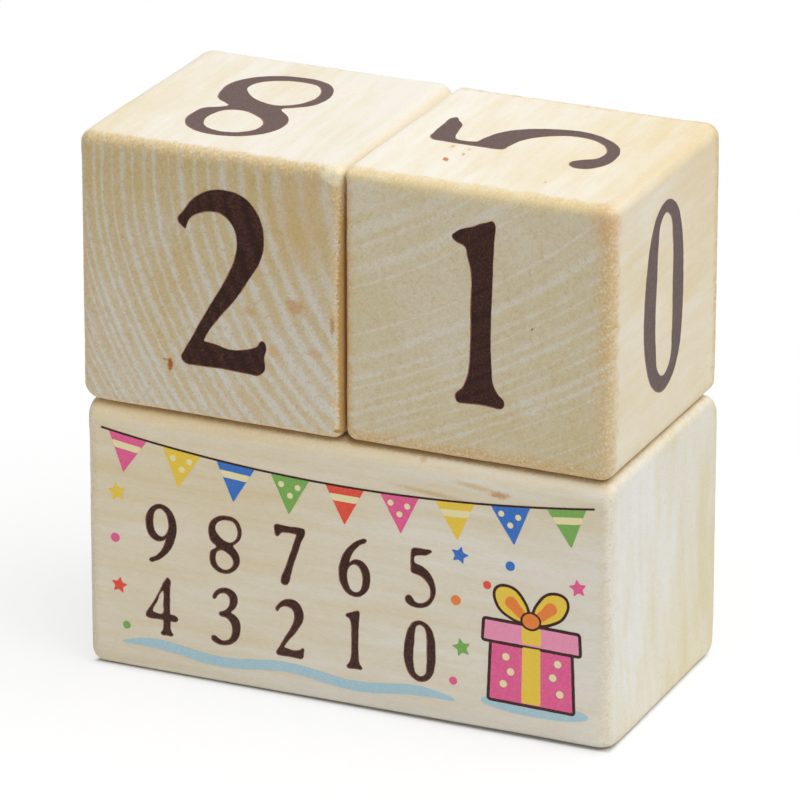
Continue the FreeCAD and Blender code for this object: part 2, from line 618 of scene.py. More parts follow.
        # The edges are rubbed by uneven widths, further on one side than on the other
        shifted = add("VectorMath.ADD", place, self.rub_shift_mm)
        across, along, up = self.depths(add, shifted)
        near = add("Math.MINIMUM", across, up)
        far = add("Math.MAXIMUM", across, up)
        rim = add("Math.MAXIMUM", along, near)
        uneven = self.noise(add, place, WANDERING_RIM)
        uneven = add("Math.MULTIPLY_ADD", uneven, 2.6 * self.rub_mm, -1.3 * self.rub_mm)
        rim = add("Math.ADD", rim, uneven)
        side = add("Math.MULTIPLY_ADD", uneven, 0.4, far)
        end_edge = add("MapRange", rim, 0.3 * self.rub_mm, 1.6 * self.rub_mm, 1.0, 0.0, **SOFT)
        long_edge = add("MapRange", side, 0.1 * self.rub_mm, 1.4 * self.rub_mm, 1.0, 0.0, **SOFT)
        return GrainSockets(place, self.ring_line(add, place, speckle), speckle, end, end_edge, long_edge)


# Finishes

@dataclass(frozen=True)
class WashedHardwood:
    """Sawn and sanded hardwood under a thin white wash.

    The wash fills the open pores of each growth ring on the sawn ends and shows there as pale ragged lines on
    tan wood. The long faces are smooth and cream with broad warm clouds. Sanding has rubbed the wash off the
    edges, which look golden and rough. A lean is how much a tone grows with each millimetre across, along and
    up. `fibre_tone` is how far single fibres differ in tone on the long faces and on the rough ends.
    """

    name: str
    tan: str = "#D8C088"
    ring_white: str = "#E3DDD0"
    cream: str = "#FCF6E8"
    warm: str = "#F0DCAE"
    rubbed: str = "#EACB8E"
    # Pale fibres that sanding tore up: partly their own colour, partly painted highlights on them
    torn_and_glint: str = "#FBF2DC"
    torn_and_glint_share: float = 0.7
    pit: str = "#C98F4E"
    pit_share: float = 0.4
    stain: str = "#CFA25C"
    stain_strength: float = 0.5
    ring_strength: float = 0.7
    end_wash: float = 0.25
    end_spread: float = 1.3
    end_clouds: Bumps = END_CLOUDS
    end_lean: Triple = (0.0, 0.0, 0.0)
    speckle_strength: float = 0.9
    warmth: float = 0.35
    warm_spread: float = 2.6
    warm_lean: Triple = (0.0, 0.0, 0.0)
    side_clouds: Bumps = SIDE_CLOUDS
    tone_lean: Triple = (0.0, 0.0, 0.0)
    rub_strength: float = 0.85
    long_rub: float = 0.4
    fibre_tone: Pair = (0.14, 0.32)
    relief_mm: float = 0.15
    torn_relief: float = 0.32
    roughness: float = 0.56
    edge_roughness: float = 0.76
    ior: float = 1.5
    flecks_and_shade: tuple[FleckOrShade, ...] = ()

    def end_colour(self, add: Add, lay: GrainSockets, bumps: Callable[[Bumps], Socket]) -> Socket:
        """Colour a sawn end: pale ring lines and pores on tan wood, washed more in some places than others.

        Args:
            add: add_node for the material's tree.
            lay: The block's grain.
            bumps: Its noise at a point of the wood.

        Returns:
            The colour's socket.
        """
        cloud = bumps(self.end_clouds)
        cloud = add("Math.MULTIPLY_ADD", cloud, self.end_spread, self.end_wash - 0.5 * self.end_spread)
        lean = add("VectorMath.DOT_PRODUCT", lay.place, self.end_lean, output="Value")
        cloud = add("Math.ADD", cloud, lean)
        pores = add("Math.MULTIPLY_ADD", lay.speckle, self.speckle_strength, -0.5 * self.speckle_strength)
        cover = add("Math.ADD", cloud, pores)
        cover = add("Math.MULTIPLY_ADD", lay.ring_line, self.ring_strength, cover, use_clamp=True)
        colour = add("Mix", cover, inputs={6: linear(self.tan), 7: linear(self.ring_white)}, **COLOURS)
        stain = add("MapRange", bumps(SPOTTED_STAIN), 0.50, 0.68, 0.0, self.stain_strength)
        return add("Mix", stain, inputs={6: colour, 7: linear(self.stain)}, **COLOURS)

    def side_colour(self, add: Add, lay: GrainSockets, bumps: Callable[[Bumps], Socket]) -> Socket:
        """Colour the long faces: cream with broad soft warm clouds, a little drawn out along the grain.

        Args:
            add: add_node for the material's tree.
            lay: The block's grain.
            bumps: Its noise at a point of the wood.

        Returns:
            The colour's socket.
        """
        cloud = bumps(self.side_clouds)
        cloud = add("Math.MULTIPLY_ADD", cloud, self.warm_spread, self.warmth - 0.75 * self.warm_spread)
        cloud = add("Math.MULTIPLY_ADD", bumps(STREAKS), 0.5 * self.warm_spread, cloud)
        lean = add("VectorMath.DOT_PRODUCT", lay.place, self.warm_lean, output="Value")
        cloud = add("Math.ADD", cloud, lean, use_clamp=True)
        return add("Mix", cloud, inputs={6: linear(self.cream), 7: linear(self.warm)}, **COLOURS)

    def rubbed_edges(self, add: Add, lay: GrainSockets, tufts: Socket, colour: Socket) -> Socket:
        """Rub the edges golden, with pale frayed fibres, partly their own colour and partly painted
        highlights on them, and small brown pits where saw and sander tore them.

        Args:
            add: add_node for the material's tree.
            lay: The block's grain.
            tufts: The torn fibres.
            colour: The colour so far.

        Returns:
            The new colour's socket.
        """
        rub = add("Math.MULTIPLY", lay.long_edge, self.long_rub)
        rub = add("Math.MAXIMUM", rub, lay.end_edge)
        # The wash sits deeper in the ring lines, which run on half as strong over the edges
        kept = add("Math.MULTIPLY_ADD", lay.ring_line, -0.5, 1.0)
        rub = add("Math.MULTIPLY", rub, kept)
        rub = add("Math.MULTIPLY", rub, self.rub_strength)
        colour = add("Mix", rub, inputs={6: colour, 7: linear(self.rubbed)}, **COLOURS)
        # Pale fibre tufts, partly painted highlights, then brown pits
        for low, high, tone, share in ((0.54, 0.69, self.torn_and_glint, self.torn_and_glint_share),
                                       (0.46, 0.34, self.pit, self.pit_share)):
            spot = add("MapRange", tufts, low, high, 0.0, share)
            spot = add("Math.MULTIPLY", spot, lay.end_edge)
            colour = add("Mix", spot, inputs={6: colour, 7: linear(tone)}, **COLOURS)
        return colour

    def marked_and_shaded(self, add: Add, lay: GrainSockets, ragged: Socket, colour: Socket) -> Socket:
        """Lay the small marks on the wood, and the patches of painted shade in the gaps and seams.

        Args:
            add: add_node for the material's tree.
            lay: The block's grain.
            ragged: The noise that breaks up cloudy marks and cloudy patches of painted shade.
            colour: The colour so far.

        Returns:
            The new colour's socket.
        """
        # Each is a mark in the wood or a patch of painted shade in a gap or seam
        for fleck_or_shade in self.flecks_and_shade:
            near = add("Mapping", lay.place, fleck_or_shade.place, fleck_or_shade.turn, fleck_or_shade.size, vector_type="TEXTURE")
            near = add("VectorMath.LENGTH", near, output="Value")
            near = add("Math.MULTIPLY_ADD", lay.speckle, 1.2, near)
            near = add("Math.MULTIPLY_ADD", ragged, fleck_or_shade.cloudy, near)
            rim = 1.6 + 0.5 * fleck_or_shade.cloudy
            near = add("MapRange", near, rim - fleck_or_shade.softness, rim + fleck_or_shade.softness, fleck_or_shade.strength, 0.0,
                       **SOFT)
            colour = add("Mix", near, inputs={6: colour, 7: linear(fleck_or_shade.colour)}, **COLOURS)
        return colour

    def material(self, grain: GrainField) -> bpy.types.Material:
        """Build the wood's nodes.

        Args:
            grain: The block's growth rings, mottling and edges.

        Returns:
            The material.
        """
        material = bpy.data.materials.new(self.name)
        add = clear_nodes(material)
        lay = grain.lay(add)
        bumps = partial(grain.noise, add, lay.place)
        tufts = bumps(TUFTS)
        colour = add("Mix", lay.end, inputs={6: self.side_colour(add, lay, bumps),
                                             7: self.end_colour(add, lay, bumps)}, **COLOURS)
        colour = self.rubbed_edges(add, lay, tufts, colour)
        colour = self.marked_and_shaded(add, lay, bumps(RAGGED_MARK_AND_SHADE_RIMS), colour)

        # Fine tone of the fibres: strong on the sawn ends and their edges, faint on the long faces
        coarse = add("Math.MAXIMUM", lay.end, lay.end_edge)
        depth = add("MapRange", coarse, 0.0, 1.0, *self.fibre_tone)
        tone = add("Math.SUBTRACT", bumps(FIBRES), 0.5)
        lean = add("VectorMath.DOT_PRODUCT", lay.place, self.tone_lean, output="Value")
        lean = add("Math.ADD", lean, 1.0)
        tone = add("Math.MULTIPLY_ADD", tone, depth, lean)
        colour = add("VectorMath.SCALE", colour, inputs={"Scale": tone})
        gloss = add("MapRange", coarse, 0.0, 1.0, self.roughness, self.edge_roughness)

        # Relief of about 0.01 mm on the long faces, as 180 grit leaves them, and 0.05 mm on the torn edges
        rough = add("Math.MULTIPLY", tufts, lay.end_edge)
        relief = add("Math.MULTIPLY", lay.speckle, depth)
        relief = add("Math.MULTIPLY_ADD", rough, self.torn_relief, relief)
        bump = add("Bump", inputs={"Height": relief, "Strength": 0.8, "Distance": self.relief_mm * MM})
        shader = add("BsdfPrincipled", inputs={"Base Color": colour, "Roughness": gloss, "IOR": self.ior,
                                               "Normal": bump})
        add("OutputMaterial", shader)
        return material


@dataclass(frozen=True)
class PrintInk:
    """Pad-printed solvent ink: a thin satin film, through which the pores and rings of the wood just show."""

    name: str
    colour: str
    grain_colour: str
    grain_strength: float = 0.3
    roughness: float = 0.4
    ior: float = 1.45
    relief_mm: float = 0.02

    def material(self, block: str, grain: GrainField) -> bpy.types.Material:
        """Build the ink's nodes.

        Args:
            block: The name of the block that it is printed on.
            grain: That block's growth rings, mottling and edges.

        Returns:
            The material.
        """
        material = bpy.data.materials.new(f"{self.name}_on_{block}")
        add = clear_nodes(material)
        lay = grain.lay(add)
        line = add("Math.MULTIPLY", lay.ring_line, lay.end)
        show = add("MapRange", grain.noise(add, lay.place, INK_SPECKS), 0.4, 0.72, 0.0, self.grain_strength)
        show = add("Math.MULTIPLY_ADD", line, -0.6 * self.grain_strength, show, use_clamp=True)
        colour = add("Mix", show, inputs={6: linear(self.colour), 7: linear(self.grain_colour)}, **COLOURS)
        gloss = add("MapRange", lay.speckle, 0.3, 0.7, self.roughness - 0.05, self.roughness + 0.07)
        # Relief of about 0.01 mm, the wood's own through the film
        bump = add("Bump", inputs={"Height": lay.speckle, "Strength": 0.6, "Distance": self.relief_mm * MM})
        shader = add("BsdfPrincipled", inputs={"Base Color": colour, "Roughness": gloss, "IOR": self.ior,
                                               "Normal": bump})
        add("OutputMaterial", shader)
        return material


class Ink(Enum):
    """The inks on the blocks."""

    BROWN = PrintInk("brown_ink", "#3A1709", "#78493A", 0.5)
    THIN_BROWN = PrintInk("thin_brown_ink", "#8A5442", "#B08468", 0.5)
    PINK = PrintInk("pink_ink", "#F8609C", "#FFA0BE")
    LIGHT_PINK = PrintInk("light_pink_ink", "#FF9CC0", "#FFC8DA")
    CREAM = PrintInk("cream_ink", "#FFF2B8", "#FFF8DA")
    YELLOW = PrintInk("yellow_ink", "#FFD83C", "#FFE98A")
    ORANGE = PrintInk("orange_ink", "#FF8A34", "#FFB070")
    RED = PrintInk("red_ink", "#FA5038", "#FF8A70")
    BLUE = PrintInk("blue_ink", "#3478D6", "#6FA0E4")
    LIGHT_BLUE = PrintInk("light_blue_ink", "#B4DAE8", "#DCEBEA", 0.5)
    GREEN = PrintInk("green_ink", "#84BE56", "#AAD488")


# Printed films

@dataclass(frozen=True)
class Shape:
    """One flat printed shape: its outer loop and its holes, in millimetres, in one ink."""

    ink: Ink
    loops: tuple[Loop, ...]


def printed(ink: Ink, loop: Loop, seed: float, wobble_mm: float, spread_mm: float = 0.0) -> Shape:
    """A printed shape without holes, from its drawn outline and what printed_loop needs for it."""
    return Shape(ink, (printed_loop(loop, seed, wobble_mm, spread_mm),))


@dataclass
class Film:
    """A thin closed film of ink. Later shapes cover earlier ones, and nothing overlaps in the mesh."""

    name: str
    shapes: list[Shape]

    def triangles(self) -> tuple[np.ndarray, np.ndarray, np.ndarray]:
        """Cut the shapes into triangles.

        Returns:
            The flat points, the triangles' point numbers, and the number of the shape that shows on each.
        """
        points, edges = [], []
        for shape in self.shapes:
            for loop in shape.loops:
                first = len(points)
                points.extend(Vector(point) for point in loop)
                edges.extend((first + i, first + (i + 1) % len(loop)) for i in range(len(loop)))
        corners, _, faces, *_ = geometry.delaunay_2d_cdt(points, edges, [], 0, 1e-5, False)
        corners = np.array([tuple(corner) for corner in corners])
        faces = np.array(faces)
        middles = corners[faces].mean(axis=1)
        shows = np.full(len(faces), -1)
        for number, shape in enumerate(self.shapes):
            shows[inside(middles, shape.loops)] = number
        kept = shows >= 0
        used, faces = np.unique(faces[kept], return_inverse=True)
        return corners[used], faces.reshape(-1, 3), shows[kept]

    def build(self, block: "SawnBlock", side: Side) -> bpy.types.Object:
        """Make the film on one face of a block.

        Args:
            block: The block that it is printed on.
            side: The face that carries it.

        Returns:
            The film's object, riding on the block's body.
        """
        flat, faces, shows = self.triangles()
        count = len(flat)
        outer = side.place(block.low, block.high, flat, FILM_FACE_MM)
        inner = side.place(block.low, block.high, flat, FILM_BACK_MM)
        edges: dict[tuple[int, int], int] = {}
        for number, (a, b, c) in enumerate(faces.tolist()):
            for pair in ((a, b), (b, c), (c, a)):
                edges[pair] = number
        walls = [(pair, number) for pair, number in edges.items() if pair[::-1] not in edges]
        polygons = faces.tolist() + (faces[:, ::-1] + count).tolist()
        polygons += [[b, a, a + count, b + count] for (a, b), _ in walls]
        inks = sorted({shape.ink for shape in self.shapes}, key=lambda ink: ink.name)
        of_shape = np.array([inks.index(shape.ink) for shape in self.shapes])[shows]
        of_face = np.concatenate([of_shape, of_shape, of_shape[[number for _, number in walls]]])
        mesh = bpy.data.meshes.new(self.name)
        mesh.from_pydata((np.vstack([outer, inner]) * MM).tolist(), [], polygons)
        mesh.polygons.foreach_set("material_index", of_face.astype(np.int32))
        for ink in inks:
            mesh.materials.append(block.ink_material(ink))
        piece = bpy.data.objects.new(self.name, mesh)
        return block.carry(piece)


@dataclass(frozen=True)
class Numeral:
    """One numeral on a block: which, where its centre is on its face, how it is turned, and how large it is.

    Thin ink squeezes out past its edge, a little low and to the left, and the solid ink ends inside the edge.
    """

    digit: str
    centre_mm: Pair
    turn_deg: float = 0.0
    scale: float = 1.0
    squeezed_mm: float = 0.07
    squeezed_wobble_mm: float = 0.06
    squeezed_shift_mm: Pair = (-0.05, -0.04)
    solid_mm: float = -0.05
    solid_wobble_mm: float = 0.05

    def shapes(self, seed: float) -> list[Shape]:
        """Draw the numeral on its face; a nine is a six turned round.

        Args:
            seed: Chooses how its edge wanders.

        Returns:
            The thin edge and the solid numeral on it.
        """
        turn = math.radians(self.turn_deg + (180 if self.digit == "9" else 0))
        spin = np.array([[math.cos(turn), math.sin(turn)], [-math.sin(turn), math.cos(turn)]])
        squeezed, solid = [], []
        for number, knots in enumerate(NUMERALS["6" if self.digit == "9" else self.digit]):
            loop = smooth_loop(knots, self.scale) @ spin + np.array(self.centre_mm)
            grow = -1 if number else 1
            thin = printed_loop(loop, seed, self.squeezed_wobble_mm, self.squeezed_mm * grow)
            squeezed.append(thin + self.squeezed_shift_mm)
            solid.append(printed_loop(loop, seed + 1, self.solid_wobble_mm, self.solid_mm * grow))
        return [Shape(Ink.THIN_BROWN, tuple(squeezed)), Shape(Ink.BROWN, tuple(solid))]


# Blocks

def by_corner(ends: tuple[Radii, Radii], shares: np.ndarray) -> np.ndarray:
    """Blend what is given for each corner of a block.

    Args:
        ends: The values at the lower left, lower right, upper right and upper left of the first and last end.
        shares: How far right, back and up each point lies, from 0 to 1.

    Returns:
        The value at each point.
    """
    right, back, top = shares
    corners = [first + (last - first) * back for first, last in zip(*ends)]
    lower = corners[0] + (corners[1] - corners[0]) * right
    upper = corners[3] + (corners[2] - corners[3]) * right
    return lower + (upper - lower) * top


@dataclass
class SawnBlock:
    """A block sawn from planed bar: round edges along the grain, sanded ones round each sawn end.

    Each is worn differently, so their radii are given for the first end along the grain and for the last: the
    planed ones at the lower left, lower right, upper right and upper left corner of the section, and the
    sanded ones at the bottom, right, top and left of the end. `corner_wear_mm` is what handling adds to the
    sanded radius close to each corner. The radii and the small dents in the corners vary along the edges with
    the wavelengths given.
    """

    node: str
    body: str
    slot: str
    grain_field: GrainField
    finish: WashedHardwood
    planed_radii_mm: tuple[Radii, Radii]
    sanded_radii_mm: tuple[Radii, Radii]
    corner_wear_mm: tuple[Radii, Radii] = ((0.0, 0.0, 0.0, 0.0), (0.0, 0.0, 0.0, 0.0))
    widest_planed_mm: float = 4.0
    planed_unevenness: float = 0.03
    sanded_unevenness: float = 0.08
    wear_wavelength_mm: float = 9.0
    dent_mm: float = 0.02
    dent_spread_mm: float = 0.04
    deepest_dent_mm: float = 0.06
    dent_wavelength_mm: float = 1.2
    edge_zone_mm: float = 4.5
    edge_step_mm: float = 0.3
    face_step_mm: float = 0.8
    low: np.ndarray = field(init=False)
    high: np.ndarray = field(init=False)
    inks: dict[Ink, bpy.types.Material] = field(init=False, default_factory=dict)

    def __post_init__(self) -> None:
        """Read the block's place from the frame."""
        low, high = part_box(self.node)
        self.low = np.array(low) / MM
        self.high = np.array(high) / MM
        self.grain_field = replace(self.grain_field, centre_mm=tuple((self.low + self.high) / 2),
                                   half_mm=tuple(self.half))

    @property
    def half(self) -> np.ndarray:
        """Half sizes in millimetres, across, along and up, with the grain along the second."""
        half = (self.high - self.low) / 2
        return half if self.grain_field.grain is Grain.FRONT_TO_BACK else half[[1, 0, 2]]

    def ink_material(self, ink: Ink) -> bpy.types.Material:
        """Look up this block's own material for an ink, and make it the first time.

        Args:
            ink: The ink.

        Returns:
            The material.
        """
        if ink not in self.inks:
            self.inks[ink] = ink.value.material(self.node, self.grain_field)
        return self.inks[ink]

    def carry(self, piece: bpy.types.Object) -> bpy.types.Object:
        """Link a piece, let it ride on this block's body, and report it.

        Args:
            piece: The new object.

        Returns:
            The same object.
        """
        bpy.context.scene.collection.objects.link(piece)
        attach(piece, self.body)
        log.info("%s rides on %s, %d faces", piece.name, self.body, len(piece.data.polygons))
        return piece

    def spaced(self, half: float) -> np.ndarray:
        """Space grid lines from one face to the other, close together near the edges.

        Args:
            half: How far each of the two faces lies from the middle, in millimetres.

        Returns:
            The places of the lines.
        """
        edge = np.arange(0, self.edge_zone_mm, self.edge_step_mm)
        middle = np.linspace(self.edge_zone_mm - half, half - self.edge_zone_mm,
                             round((2 * half - 2 * self.edge_zone_mm) / self.face_step_mm) + 1)
        return np.concatenate([edge - half, middle, half - edge[::-1]])

    def box_grid(self) -> tuple[np.ndarray, np.ndarray]:
        """Lay a grid over the six faces of the block's box.

        Returns:
            Its points, with the grain along Y, and its quads.
        """
        lines = [self.spaced(half) for half in self.half]
        points, quads, count = [], [], 0
        for axis in range(3):
            u_axis, v_axis = (axis + 1) % 3, (axis + 2) % 3
            u, v = np.meshgrid(lines[u_axis], lines[v_axis], indexing="ij")
            for end in (-1, 1):
                face = np.zeros((u.size, 3))
                face[:, axis] = end * self.half[axis]
                face[:, u_axis] = u.ravel()
                face[:, v_axis] = v.ravel()
                rows, columns = u.shape
                first = count + (np.arange(rows - 1)[:, None] * columns + np.arange(columns - 1)).ravel()
                quad = np.column_stack([first, first + columns, first + columns + 1, first + 1])
                quads.append(quad if end > 0 else quad[:, ::-1])
                points.append(face)
                count += len(face)
        points = np.concatenate(points)
        _, keep, merged = np.unique(np.round(points, 5), axis=0, return_index=True, return_inverse=True)
        return points[keep], merged.ravel()[np.concatenate(quads)]

    def radii(self, points: np.ndarray, half: np.ndarray) -> tuple[np.ndarray, np.ndarray]:
        """Work out the worn edge radii near each point.

        Args:
            points: Points on the box with the grain along Y.
            half: The box's half sizes.

        Returns:
            The planed radius and the sanded radius at each point.
        """
        shares = (0.5 + 0.5 * np.sin(0.5 * math.pi * points / half)).T
        right, back, top = shares
        section = np.abs(points[:, [0, 2]])
        planed = by_corner(self.planed_radii_mm, shares)
        # Away from the corners the planed radius touches nothing, and there the sanded one may be as large
        planed = np.maximum(planed, np.minimum((half[[0, 2]] - section).max(1), self.widest_planed_mm))
        sides = [first + (last - first) * back for first, last in zip(*self.sanded_radii_mm)]
        upright = np.clip(0.5 + 2 * (np.abs(points[:, 0] / half[0]) - np.abs(points[:, 2] / half[2])), 0, 1)
        level = sides[0] + (sides[2] - sides[0]) * top
        sanded = level + (sides[3] + (sides[1] - sides[3]) * right - level) * upright
        # The eighth power keeps the added wear close to the corners
        sanded += by_corner(self.corner_wear_mm, shares) * np.prod(section / half[[0, 2]], axis=1) ** 8
        seed = self.grain_field.seed
        planed *= 1 + self.planed_unevenness * drift(points, self.wear_wavelength_mm, seed)
        sanded *= 1 + self.sanded_unevenness * drift(points, self.wear_wavelength_mm, seed + 1)
        # A sanded radius as large as the planed one would end in a point at the corners
        return planed, np.minimum(sanded, 0.95 * planed)

    def rounded(self, points: np.ndarray) -> np.ndarray:
        """Press points of the box onto the worn, rounded block.

        Args:
            points: Points on the box with the grain along Y.

        Returns:
            The points on the block's surface.
        """
        half = self.half - FILM_SINK_MM
        points = np.clip(points, -half, half)
        planed, sanded = self.radii(points, half)
        section = points[:, [0, 2]]
        past = np.maximum(np.abs(section) - (half[[0, 2]] - planed[:, None]), 0)
        reach = np.linalg.norm(past, axis=1)
        safe = np.where(reach > 0, reach, 1)[:, None]
        outward = np.sign(section) * past / safe
        side = np.maximum(reach - planed + sanded, 0)
        end = np.maximum(np.abs(points[:, 1]) - half[1] + sanded, 0)
        total = np.hypot(side, end)
        total = np.where(total > 0, total, 1)
        normal = np.column_stack([outward[:, 0] * side, np.sign(points[:, 1]) * end, outward[:, 1] * side])
        normal /= total[:, None]
        moved = points - normal * (total - sanded)[:, None]
        # Dents only where both the side and the end turn away, so that no flat face is touched
        worn = np.minimum(side, end) > 0.02
        dents = drift(points, self.dent_wavelength_mm, self.grain_field.seed + 2)
        dents = np.clip(self.dent_mm + self.dent_spread_mm * dents, 0, self.deepest_dent_mm)
        return moved - normal * np.where(worn, dents, 0)[:, None]

    def build_wood(self) -> bpy.types.Object:
        """Make the wooden block in place of its plain node.
        """
        points, quads = self.box_grid()
        points = self.rounded(points)
        if self.grain_field.grain is Grain.LEFT_TO_RIGHT:
            points = points[:, [1, 0, 2]] * (1, -1, 1)
        points += (self.low + self.high) / 2
        mesh = bpy.data.meshes.new(f"{self.node}_wood")
        mesh.from_pydata((points * MM).tolist(), [], quads.tolist())
        mesh.polygons.foreach_set("use_smooth", np.ones(len(mesh.polygons), bool))
        mesh.materials.append(self.finish.material(self.grain_field))
        piece = self.carry(bpy.data.objects.new(f"{self.node}_wood", mesh))
        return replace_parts(piece, self.node)


@dataclass
class NumberCube(SawnBlock):
    """A loose cube with a numeral on each of its six faces."""

    numerals: dict[Side, Numeral] = field(default_factory=dict)

    def build(self) -> None:
        """Make the cube's wood and its six numerals."""
        self.build_wood()
        for number, (side, numeral) in enumerate(self.numerals.items()):
            name = f"{self.node}_numeral_{numeral.digit}"
            Film(name, numeral.shapes(self.grain_field.seed + 10 * number)).build(self, side)


@dataclass
class BaseBlock(SawnBlock):
    """The long block under the cubes, with a printed countdown, bunting and a present on its front.

    Places on the front are given from its lower left corner, as x and height.
    """

    countdown: tuple[str, ...] = ("98765", "43210")
    first_numeral_mm: Pair = (13.0, 24.6)
    numeral_pitch_mm: Pair = (11.0, 12.2)
    numeral_scale: float = 0.33
    bunting_ends_mm: Pair = (2.8, 85.8)
    bunting_top_mm: float = 40.9
    bunting_sag_mm: float = 3.2
    string_mm: float = 0.34
    pennants: int = 9
    pennant_mm: Pair = (6.6, 6.4)
    pennant_band: Pair = (0.22, 0.40)
    pennant_dots_mm: tuple[Pair, ...] = ((-1.5, -1.5), (1.3, -1.7), (0.0, -3.2))
    pennant_dot_mm: float = 0.5
    outline_mm: float = 0.42
    streamer_start_mm: Pair = (6.0, 5.1)
    streamer_long_mm: float = 57.0
    streamer_wave_mm: float = 0.55
    streamer_wide_mm: float = 1.7

    def string_height(self, x: float) -> float:
        """Find the height of the bunting's string.

        Args:
            x: The place to the right.

        Returns:
            The height in millimetres.
        """
        left, right = self.bunting_ends_mm
        share = (2 * x - left - right) / (right - left)
        return self.bunting_top_mm - self.bunting_sag_mm * (1 - share ** 2)

    def pennant(self, number: int, ink: Ink) -> list[Shape]:
        """Draw a pennant: every other one has a band, the rest have dots.

        Args:
            number: Which pennant from the left, from 0.
            ink: Its ink.

        Returns:
            Its flag and what is printed on it.
        """
        left, right = self.bunting_ends_mm
        wide, tall = self.pennant_mm
        middle = left + (number + 0.5) * (right - left) / self.pennants
        a, b = middle - wide / 2, middle + wide / 2
        za, zb = self.string_height(a), self.string_height(b)
        tip = (middle + (zb - za) / wide * tall, (za + zb) / 2 - tall)
        flag = printed(ink, polygon((a, za), tip, (b, zb)), number, 0.03)
        if number % 2:
            return [flag] + [Shape(Ink.CREAM, (disc(middle + dx, (za + zb) / 2 + dz, self.pennant_dot_mm),))
                             for dx, dz in self.pennant_dots_mm]
        band = [(a + (tip[0] - a) * s, za + (tip[1] - za) * s) for s in self.pennant_band]
        band += [(b + (tip[0] - b) * s, zb + (tip[1] - zb) * s) for s in self.pennant_band[::-1]]
        return [flag, printed(Ink.CREAM, polygon(*band), number, 0.02)]

    def bunting(self) -> list[Shape]:
        """Draw a string of pennants that hangs across the top of the front.

        Returns:
            Its shapes in the order of printing.
        """
        colours = [Ink.PINK, Ink.YELLOW, Ink.BLUE, Ink.GREEN, Ink.RED]
        shapes = []
        for number in range(self.pennants):
            shapes += self.pennant(number, colours[number % len(colours)])
        x = np.linspace(*self.bunting_ends_mm, 120)
        line = np.column_stack([x, [self.string_height(value) for value in x]])
        return shapes + [Shape(Ink.BROWN, (ribbon(line, np.full(len(line), self.string_mm)),))]

    def present(self) -> list[Shape]:
        """Draw a wrapped present with a bow, in the lower right corner.

        Returns:
            Its shapes in the order of printing.
        """
        box = polygon((68.6, 6.6), (82.6, 6.4), (82.2, 16.6), (69.0, 16.8))
        lid = polygon((67.6, 16.4), (83.6, 16.2), (83.4, 19.6), (67.8, 19.8))
        left_bow = smooth_loop([(75.4, 20.0, CORNER), (72.6, 20.6), (70.0, 22.6), (69.9, 25.2), (72.0, 25.6),
                                (74.4, 23.4)])
        right_bow = left_bow * (-1, 1) + (151.0, 0)
        left_fold = smooth_loop([(74.4, 21.0), (72.4, 21.8), (71.2, 23.4), (72.0, 24.2), (73.6, 23.0)])
        right_fold = smooth_loop([(76.6, 21.0), (78.6, 21.8), (79.8, 23.4), (79.0, 24.2), (77.4, 23.0)])
        drawn = (
            (Ink.LIGHT_BLUE, disc(76.2, 6.1, 9.0, 0.16), 0.0),
            (Ink.BROWN, box, self.outline_mm),
            (Ink.PINK, box, -0.1),
            (Ink.BROWN, left_bow, self.outline_mm),
            (Ink.BROWN, right_bow, self.outline_mm),
            (Ink.YELLOW, left_bow, -0.05),
            (Ink.YELLOW, right_bow, -0.05),
            (Ink.ORANGE, left_fold, 0.0),
            (Ink.ORANGE, right_fold, 0.0),
            (Ink.BROWN, lid, self.outline_mm),
            (Ink.LIGHT_PINK, lid, -0.1),
            (Ink.YELLOW, polygon((74.0, 6.7), (77.2, 6.7), (77.1, 16.1), (74.1, 16.1)), 0.0),
            (Ink.YELLOW, polygon((74.0, 16.7), (77.2, 16.7), (77.2, 19.4), (74.0, 19.4)), 0.0),
            (Ink.BROWN, disc(75.5, 20.6, 1.5, 0.9), 0.25),
            (Ink.ORANGE, disc(75.5, 20.6, 1.4, 0.9), 0.0),
        )
        dots = ((71.4, 14.0), (71.0, 9.4), (80.0, 14.2), (80.4, 9.2), (79.2, 11.8), (72.2, 11.6))
        shapes = [printed(ink, loop, seed, 0.03, grow) for seed, (ink, loop, grow) in enumerate(drawn, 30)]
        return shapes + [Shape(Ink.CREAM, (disc(x, z, 0.62),)) for x, z in dots]

    def confetti(self) -> list[Shape]:
        """Draw stars and dots beside the numerals.

        Returns:
            Their shapes.
        """
        stars = ((Ink.YELLOW, 5.4, 30.4, 1.7, 8), (Ink.BLUE, 63.6, 29.6, 1.6, -12),
                 (Ink.RED, 5.6, 14.6, 1.5, -8), (Ink.GREEN, 64.0, 14.2, 1.7, 14),
                 (Ink.PINK, 83.2, 27.4, 1.6, 10))
        dots = ((Ink.PINK, 5.0, 22.6, 0.8), (Ink.GREEN, 6.8, 8.0, 0.7), (Ink.ORANGE, 63.0, 22.0, 0.85),
                (Ink.PINK, 62.6, 8.4, 0.7), (Ink.BLUE, 72.0, 29.2, 0.8), (Ink.RED, 68.2, 25.4, 0.7))
        shapes = [printed(ink, star(x, z, radius, turn), x, 0.02) for ink, x, z, radius, turn in stars]
        return shapes + [printed(ink, disc(x, z, radius), x, 0.02) for ink, x, z, radius in dots]

    def streamer(self) -> list[Shape]:
        """Draw a pale blue streamer that waves under the numerals and thins out at its ends.

        Returns:
            Its one shape.
        """
        share = np.linspace(0, 1, 160)
        x, z = self.streamer_start_mm
        line = np.column_stack([x + self.streamer_long_mm * share,
                                z + self.streamer_wave_mm * np.sin(share * 5 * math.pi)])
        width = self.streamer_wide_mm * np.sqrt(np.clip(np.minimum(share, 1 - share) * 9, 0.02, 1))
        return [printed(Ink.LIGHT_BLUE, ribbon(line, width), 50, 0.05)]

